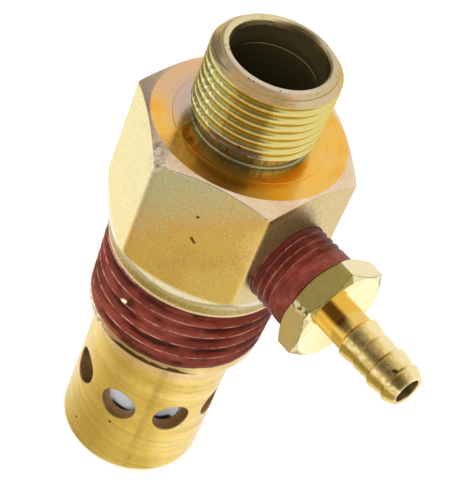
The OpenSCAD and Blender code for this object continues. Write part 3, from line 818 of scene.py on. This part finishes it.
def make_body():
    """The plated body, from its passage out over the rim and down to its lower end."""
    hex_slot, face_slot, thread_slot, rim_slot, bore_slot, end_slot = range(6)
    hexagon = hexagon_radius(around(COLUMNS), HEX_APOTHEM, HEX_ROUNDING, 0.0)
    edge = INLET_R - RIM_R
    foot_z = THREAD_END_Z - edge / 2
    lead = 0.25  # how far the rim's own chamfer runs before the thread starts
    s = Surface()
    s.add(lathe([
        (NECK_R, BODY_END_Z + 0.3, 0), (NECK_R, WASHER_TOP_Z, 0), (FLOW_R, WASHER_TOP_Z, 0.1),
        (FLOW_R, 0, 0.1), (SOCKET_R, 0, 0.05), (SOCKET_R, INLET_Z - MOUTH_DEPTH, 0.12),
        MOUTH_FOOT]), slot=bore_slot)
    s.add(lathe([MOUTH_FOOT, (MOUTH_R, INLET_Z, 0.3), (RIM_R, INLET_Z, 0.15),
                 (RIM_R + lead, INLET_Z - lead, 0)], steps=8), slot=rim_slot)

    def inlet_radius(phase, height, _):
        chamfer = RIM_R + INLET_Z - height
        foot = RELIEF_R + (height - foot_z) * 2 * (INLET_R - RELIEF_R) / edge
        thread = INLET_R - INLET_DEPTH * (1 - ridge(phase))
        return np.minimum(np.minimum(thread, chamfer), np.maximum(foot, RELIEF_R))

    thread, phase, shift = screw(INLET_Z - lead, foot_z, INLET_PITCH,
                                 INLET_Z - INLET_FIRST_CREST, 14, inlet_radius, COLUMNS)
    s.add(thread, slot=thread_slot, mark=ridge(phase), shift=shift)
    face = lathe([(RELIEF_R, foot_z, 0), (RELIEF_R, HEX_TOP_Z, 0.3),
                  (SCRIBE_R - 0.05, HEX_TOP_Z, 0.03), (SCRIBE_R, HEX_TOP_Z - SCRIBE_DEPTH, 0.02),
                  (SCRIBE_R + 0.05, HEX_TOP_Z, 0.03), (FACE_R - 0.02, HEX_TOP_Z, 0)])
    relief_rows = 8  # the relief, and the fillet up to the face
    s.add(face[:relief_rows], slot=thread_slot)
    s.add(face[relief_rows - 1:], slot=face_slot)
    s.add(lathe([(FACE_R - 0.02, HEX_TOP_Z, 0), (FACE_R, HEX_TOP_Z, 0),
                 (hexagon, HEX_TOP_Z - (hexagon - FACE_R) * TOP_CHAMFER, 0.12),
                 (hexagon, HEX_LOW_Z + (hexagon - COLLAR_R) / LOW_CHAMFER, 0.3),
                 (COLLAR_R - 0.1, HEX_LOW_Z, 0.2), (COLLAR_R - 0.12, COLLAR_Z + 0.45, 0.1),
                 (COLLAR_R, COLLAR_Z + 0.15, 0.08), (COLLAR_R - 0.1, COLLAR_Z, 0.06),
                 (COLLAR_R - 0.55, COLLAR_Z, 0)]), slot=hex_slot)
    core_r, end_r = TANK_R - 1.5, tank_crest_r(SEALANT_Z) - 0.06
    s.add(lathe([(COLLAR_R - 0.55, COLLAR_Z, 0), (core_r, COLLAR_Z - 0.1, 0),
                 (core_r, SEALANT_Z + 0.6, 0), (end_r - 0.1, SEALANT_Z + 0.5, 0),
                 (end_r, SEALANT_Z + 0.1, 0), (end_r - 0.05, BODY_END_Z + 0.25, 0.1),
                 (end_r - 0.3, BODY_END_Z, 0.1), (NECK_R + 0.3, BODY_END_Z, 0.05),
                 (NECK_R, BODY_END_Z + 0.3, 0)]), slot=end_slot)
    bore = bore_plate()
    piece = make_piece("plated_body", s, [hexagon_plate(), face_plate(), thread_plate(),
                                          rim_plate(), bore, end_plate()],
                       "housing", "valve_body")
    # The side port's threaded hole and the passage behind it
    passage_r, shank_end = 2.3, FITTING_X - 0.8
    mouth = PORT_R - (BARB_HEX_X - FLAT_X) * PIPE_TAPER + 0.01
    hole = Surface()
    hole.add(lathe([(0, 2.0, 0), (passage_r, 2.0, 0), (passage_r, shank_end, 0),
                    (PORT_R - 0.35, shank_end, 0), (mouth - 0.05, FLAT_X - 0.05, 0),
                    (mouth, FLAT_X, 0), (mouth + 0.5, FLAT_X + 0.5, 0),
                    (0, FLAT_X + 0.5, 0)], PORT_COLUMNS))
    cut_with(piece, make_piece("port_cutter", hole, [bore], "housing",
                               place=on_port_axis))
    piece.data.set_sharp_from_angle(angle=math.radians(SHARP_ANGLE))


def make_tank_sealant():
    """Red sealant over the tank thread, with its real helix and an uneven lower edge."""
    def radius(phase, height, _):
        # The thread starts below the collar and runs out above the lower edge
        lead = np.clip((COLLAR_Z - height) / 0.5, 0, 1)
        run_out = np.clip((height - SEALANT_Z - 0.4) / 1.2, 0, 1)
        depth = TANK_DEPTH * (1 - tooth(phase, *TANK_TOOTH)) * run_out
        return (tank_crest_r(height) - depth) * lead + (COLLAR_R - 0.4) * (1 - lead)

    points, phase, shift = screw(COLLAR_Z, SEALANT_Z, TANK_PITCH,
                                 COLLAR_Z - TANK_FIRST_CREST, 18, radius, COLUMNS)
    # The lower edge rises and falls in waves of (size, number, start), less and less upwards
    angle = around(COLUMNS)
    edge = 0.12 + sum(size * np.sin(number * angle + start) for size, number, start in
                      ((0.12, 1, 0.4), (0.06, 3, 1.0), (0.03, 11, 0.0), (0.02, 29, 0.5)))
    near_end = np.clip(1 - (points[..., 2] - SEALANT_Z) / 2.2, 0, 1)
    points[..., 2] += edge * near_end ** 2
    s = Surface()
    s.add(points, mark=tooth(phase, *TANK_TOOTH), shift=shift)
    low, thick = points[-1], 0.9
    low_r, low_z = np.hypot(low[:, 0], low[:, 1]), low[:, 2]
    inner = [polar(low_r - inset, angle, height) for inset, height in (
        (0.03, low_z - 0.05), (0.12, low_z - 0.06), (thick, low_z), (thick, COLLAR_Z))]
    s.add(np.stack([low, *inner, points[0]]), mark=0.5)
    make_piece("tank_sealant", s, [sealant("red_tank")], "housing",
               "tank_thread_sealant", sharp=SEALANT_SHARP_ANGLE)


def make_port_sealant():
    """Red sealant over the fitting's thread, smooth next to the hexagon."""
    start, end = port_seal_low.x, port_seal_high.x

    def radius(phase, height, _):
        # The thread fades out at the body and on the way to the hexagon
        crest = PORT_R - (end - height) * PIPE_TAPER - 0.02
        fade = np.clip((BARB_HEX_X - 1.9 - height) / 1.2, 0, 1) ** 0.7
        fade = fade * np.clip((height - FLAT_X - 0.05) / 0.5, 0, 1)
        return crest - PORT_DEPTH * fade * (1 - tooth(phase, *PORT_TOOTH)) - 0.05 * (1 - fade)

    points, phase, shift = screw(end, start, PORT_PITCH, PORT_FIRST_CREST, 14, radius,
                                 PORT_COLUMNS)
    fade = np.clip((BARB_HEX_X - 2.2 - points[..., 2]) / 0.8, 0, 1)
    s = Surface()
    s.add(points, mark=tooth(phase, *PORT_TOOTH) * (0.90 + 0.085 * fade), shift=shift)
    top = points[0]
    top_r = np.hypot(top[:, 0], top[:, 1])
    inner = [polar(r, around(PORT_COLUMNS), height) for r, height in (
        (PORT_R - 0.9, start), (PORT_R - 0.9, end), (top_r - 0.12, end))]
    s.add(np.stack([points[-1], *inner, top]), mark=0.5)
    make_piece("port_sealant", s, [sealant("red_port", port=True)], "housing",
               "barb_thread_sealant", place=on_port_axis, sharp=SEALANT_SHARP_ANGLE)


def hole_patch(radius, sector, band, hole_r, rings, samples):
    """Rows from a round hole out to the edges of one sector of a cylinder."""
    half = TURN / HOLES / 2
    t = np.arange(samples + 1) / samples * TURN
    across, up = np.cos(t), np.sin(t)
    hole_angle = np.arcsin(hole_r * across / radius)
    hole_z = HOLE_Z + hole_r * up
    scale = 1 / np.maximum(np.abs(across), np.abs(up))
    edge_angle = np.clip(half * across * scale, -half, half)
    edge_z = HOLE_Z + np.clip(up * scale, -1, 1) * band
    share = (np.arange(rings + 1)[:, None] / rings) ** 1.3
    return polar(radius, sector + hole_angle * (1 - share) + edge_angle * share,
                 hole_z * (1 - share) + edge_z * share)


def make_cage():
    """The perforated brass cage with its rounded bottom edge."""
    wall_slot, hole_slot = range(2)
    band = 4 * HOLE_R / 3
    low, high = HOLE_Z - band, HOLE_Z + band
    lip, chamfer, boss_r, boss_z = 0.35, 0.14, 2.9, CAGE_FLOOR_Z + 1.2
    s = Surface()
    s.add(lathe([(CAGE_R, high, 0), (CAGE_R, SHOULDER_Z - lip, 0.1),
                 (CAGE_R - lip, SHOULDER_Z, 0.1), (NECK_R, SHOULDER_Z, 0.03),
                 (NECK_R, NECK_TOP_Z, 0.05), (CAGE_BORE_R, NECK_TOP_Z, 0.05),
                 (CAGE_BORE_R, high, 0)]), slot=wall_slot)
    s.add(lathe([(CAGE_R, low, 0), (CAGE_R, CAGE_LOW_Z, 1.1), (AXIS_R, CAGE_LOW_Z, 0)],
                steps=10), slot=wall_slot)
    s.add(lathe([(CAGE_BORE_R, low, 0), (CAGE_BORE_R, CAGE_FLOOR_Z, 0.2),
                 (boss_r, CAGE_FLOOR_Z, 0.05), (boss_r, boss_z, 0.2), (AXIS_R, boss_z, 0)]),
          slot=hole_slot)
    count = 4 * (COLUMNS // HOLES // 2)
    t = np.arange(count + 1) / count * TURN
    for i in range(HOLES):
        sector = (i + 0.5) * TURN / HOLES
        outer = hole_patch(CAGE_R, sector, band, HOLE_R + chamfer, 8, count)
        inner = hole_patch(CAGE_BORE_R, sector, band, HOLE_R, 6, count)
        wall = [outer[0]]
        for depth, grow in ((0.03, 0.06), (0.10, 0.015), (0.2, 0.0)):
            r, radius = HOLE_R + grow, CAGE_R - depth
            wall.append(polar(radius, sector + np.arcsin(r * np.cos(t) / radius),
                              HOLE_Z + r * np.sin(t)))
        s.add(outer, slot=wall_slot, patch=True)
        s.add(inner, slot=hole_slot, patch=True)
        s.add(np.stack([*wall, inner[0]]), slot=hole_slot, patch=True)
    holes = brass("hole_brass", (0.56, 0.33, 0.14), 0.45, 6.0)
    make_piece("perforated_cage", s, [cage_plate(), holes], "housing", "outlet_cage",
               sharp=CAGE_SHARP_ANGLE)


def make_fitting():
    """The brass barb fitting: shank, chamfered hexagon, stem, barbs and bore."""
    hex_slot, stem_slot, bore_slot = range(3)
    hexagon = hexagon_radius(around(PORT_COLUMNS), BARB_APOTHEM, BARB_ROUNDING,
                             BARB_TURN + TURN / 12)
    drop = (hexagon - BARB_FACE_R) * BARB_SLOPE
    stem_foot = (STEM_R, BARB_FACE_X - BARB_DISH, 0)
    bore_mouth = (BARB_BORE_R, TIP_X - 0.1, 0)
    block = lathe([(BARB_BORE_R, FITTING_X, 0), (PORT_R - 0.8, FITTING_X, 0.1),
                   (PORT_R - 0.8, BARB_HEX_X - 0.6, 0), (PORT_R - 0.3, BARB_HEX_X - 0.1, 0.05),
                   (PORT_R - 0.3, BARB_HEX_X, 0), (BARB_FACE_R, BARB_HEX_X, 0.05),
                   (hexagon, BARB_HEX_X + drop, 0.06), (hexagon, BARB_FACE_X - drop, 0.06),
                   (BARB_FACE_R, BARB_FACE_X, 0.05), stem_foot], PORT_COLUMNS)
    # Each point's nearness to the two edges of the flats
    crease = np.minimum(np.abs(block[..., 2] - BARB_HEX_X - drop),
                        np.abs(block[..., 2] - BARB_FACE_X + drop))
    off = np.hypot(crease, np.hypot(block[..., 0], block[..., 1]) - hexagon)
    s = Surface()
    s.add(block, slot=hex_slot, mark=np.clip(1 - off / CREASE_REACH, 0, 1))
    barbs = [stem_foot]
    for i, wear in enumerate(BARB_WEAR):
        x = FIRST_BARB_X + i * BARB_PITCH
        crest = BARB_R - wear
        barbs += [(STEM_R + 0.02, x - 0.1, 0.1), (crest, x + 0.15, 0.12),
                  (crest - 0.02, x + 0.4, 0.2)]
    barbs += [(TIP_R + 0.02, TIP_X - 0.12, 0.1), (TIP_R - 0.1, TIP_X, 0.06),
              (BARB_BORE_R + 0.06, TIP_X, 0.05), bore_mouth]
    s.add(lathe(barbs, PORT_COLUMNS), slot=stem_slot)
    s.add(lathe([bore_mouth, (BARB_BORE_R, FITTING_X, 0)], PORT_COLUMNS), slot=bore_slot)
    # The bore's brass, painted dark for the shade inside it
    bore = brass("barb_bore_brass", (0.20, 0.15, 0.06), 0.4, 5.0, port=True)
    make_piece("brass_barb", s, [fitting_plate(), stem_plate(), bore], "housing",
               "barb_fitting", place=on_port_axis)


def make_spring():
    """The return spring, made at one length; the real one shortens as the piston opens."""
    wire_r, turns, sides, per_turn = 0.35, 7, 16, 48
    coil_r = spring_high.x - wire_r
    low, high = spring_low.z + wire_r, spring_high.z - wire_r
    closed = 2 * wire_r * 1.06
    t = np.arange(turns * per_turn + 1) / per_turn
    open_pitch = (high - low - 2 * closed) / (turns - 2)
    height = (low + closed * np.minimum(t, 1) + open_pitch * np.clip(t - 1, 0, turns - 2)
              + closed * np.clip(t - turns + 1, 0, 1))
    b = around(sides)[None, :]
    points = polar(coil_r + wire_r * np.cos(b), (t * TURN)[:, None],
                   height[:, None] + wire_r * np.sin(b))
    caps = [np.broadcast_to(ring.mean(0), ring.shape)[None] for ring in (points[0], points[-1])]
    s = Surface()
    s.add(np.concatenate([caps[0], points, caps[1]]))
    wire = plain_solid("wire_steel", (0.62, 0.61, 0.58), 0.24, 2.0, Metallic=1.0)
    spring = make_piece("coil_spring", s, [wire], "housing", "return_spring")
    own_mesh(spring)


def dress_cad_nodes():
    """Gives the pieces that keep their CAD shape their real finish."""
    rubber = plain_solid("washer_rubber", (0.035, 0.035, 0.035), 0.55, 6.0)
    for node, material in (("check_piston", piston_ptfe()), ("seat_washer", rubber)):
        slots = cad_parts[node].data.materials
        if len(slots):
            slots[0] = material
        else:
            slots.append(material)


make_body()
make_tank_sealant()
make_port_sealant()
make_cage()
make_fitting()
make_spring()
dress_cad_nodes()


# ---------------------------------------------------------------------- stage

# What the metal mirrors, at directions round the valve in degrees
FLOOR_TONES = [(-180, (1.2, 1.2, 1.17)), (-150, (1.15, 1.15, 1.10)), (-138, (1.0, 0.95, 0.80)),
               (-126, (0.92, 0.86, 0.62)), (-112, (0.76, 0.68, 0.42)), (-94, (0.63, 0.55, 0.31)),
               (-80, (0.64, 0.56, 0.32)), (-60, (0.80, 0.74, 0.43)), (-24, (0.84, 0.79, 0.49)),
               (-10, (1.12, 1.10, 0.95)), (10, (1.15, 1.15, 1.10)), (60, (1.1, 1.1, 1.1)),
               (180, (1.2, 1.2, 1.17))]
# Directions where the room is dark: towards, cosines of the edge and the core, tone
DARK_ZONES = [((0.428, -0.635, 0.643), 0.835, 0.875, 0.23),
              ((-0.90, 0.08, 0.43), 0.80, 0.92, 0.30),
              ((-0.409, -0.72, 0.56), 0.91, 0.96, 0.36)]


def make_floor():
    """A pale floor, white to the camera but for the soft shadow, and toned for metals.

    From beneath, the camera sees through it.
    """
    size, gap = 2.0, 0.00005
    z = CAGE_LOW_Z * MM - gap
    mesh = bpy.data.meshes.new("floor")
    mesh.from_pydata([(-size, -size, z), (size, -size, z), (size, size, z), (-size, size, z)],
                     [], [(0, 1, 2, 3)])
    floor = put("floor", mesh)
    material = bpy.data.materials.new("floor")
    n = Nodes(material)
    path = n.add("LightPath").outputs
    place = n.add("TexCoord").outputs["Object"]
    reach = n.vector("LENGTH", place)
    x, y, _ = n.add("SeparateXYZ", [place]).outputs
    tones = n.ramp(n.levels(n.math("ARCTAN2", y, x), -math.pi, math.pi),
                   [((degrees + 180) / 360, tone) for degrees, tone in FLOOR_TONES])
    tones = n.mix(n.levels(reach, 0.10, 0.15), tones, (1.0, 0.97, 0.90))
    mirrored = n.add("Emission", {"Color": tones})
    diffuse = n.add("BsdfDiffuse", {"Color": (0.8, 0.8, 0.8)})
    fill = n.times(path["Is Camera Ray"], n.levels(reach, 0.15, 0.6, 0.35, 0.70))
    glow = n.add("Emission", {"Strength": fill})
    seen = n.add("AddShader", [diffuse, glow])
    both = n.blend(path["Is Glossy Ray"], seen, mirrored)
    beneath = n.times(n.add("NewGeometry").outputs["Backfacing"],
                      path["Is Camera Ray"])
    whole = n.blend(beneath, both, n.add("BsdfTransparent"))
    n.add("OutputMaterial", {"Surface": whole})
    mesh.materials.append(material)


def make_world():
    """White behind the object for the camera. Metals mirror a room that is dark in front."""
    world = bpy.data.worlds.new("studio")
    bpy.context.scene.world = world
    n = Nodes(world)
    path = n.add("LightPath").outputs
    way = n.add("TexCoord").outputs["Generated"]
    strength = 0.95
    for ahead, edge, core, tone in DARK_ZONES:
        towards = n.vector("DOT_PRODUCT", way, Vector(ahead).normalized())
        strength = n.times(strength, n.levels(towards, edge, core, 1.0, tone))
    soft, white, room = (
        n.add("Background", {"Color": (1, 1, 1), "Strength": power})
        for power in (0.40, 1.0, strength))
    mirrored = n.blend(path["Is Glossy Ray"], soft, room)
    n.add("OutputWorld",
          {"Surface": n.blend(path["Is Camera Ray"], mirrored, white)})


def add_lamp(name, place, size, power):
    """A square soft light that points at the valve. Place and size are in metres."""
    data = bpy.data.lights.new(name, "AREA")
    data.shape = "SQUARE"
    data.size = size
    data.energy = power
    lamp = put(name, data)
    lamp.visible_glossy = False
    lamp.location = place
    aim = Vector((0.005, 0, -0.02)) - Vector(place)
    lamp.rotation_euler = aim.to_track_quat("-Z", "Y").to_euler()


def add_camera():
    """The camera: above the front of the valve, with a long lens, rolled to one side."""
    place = Vector((79.3, -113.6, 109.8)) * MM
    forward = Vector((-0.4093, 0.6155, -0.6735)).normalized()
    roll = math.radians(23.5)
    data = bpy.data.cameras.new("camera")
    data.lens = 126.9
    data.sensor_width = 36
    data.clip_start, data.clip_end = 0.01, 20
    camera = put("camera", data)
    level = forward.to_track_quat("-Z", "Y").to_matrix().to_4x4()
    camera.matrix_world = Matrix.Translation(place) @ level @ Matrix.Rotation(roll, 4, "Z")
    bpy.context.scene.camera = camera


make_floor()
make_world()
add_lamp("key", (-0.30, -0.15, 0.32), 0.35, 1.2)
add_lamp("front", (0.16, -0.26, 0.20), 0.25, 1.0)
add_lamp("back", (0.10, 0.28, 0.36), 0.40, 0.7)
add_camera()
bpy.context.scene.view_settings.view_transform = "Standard"
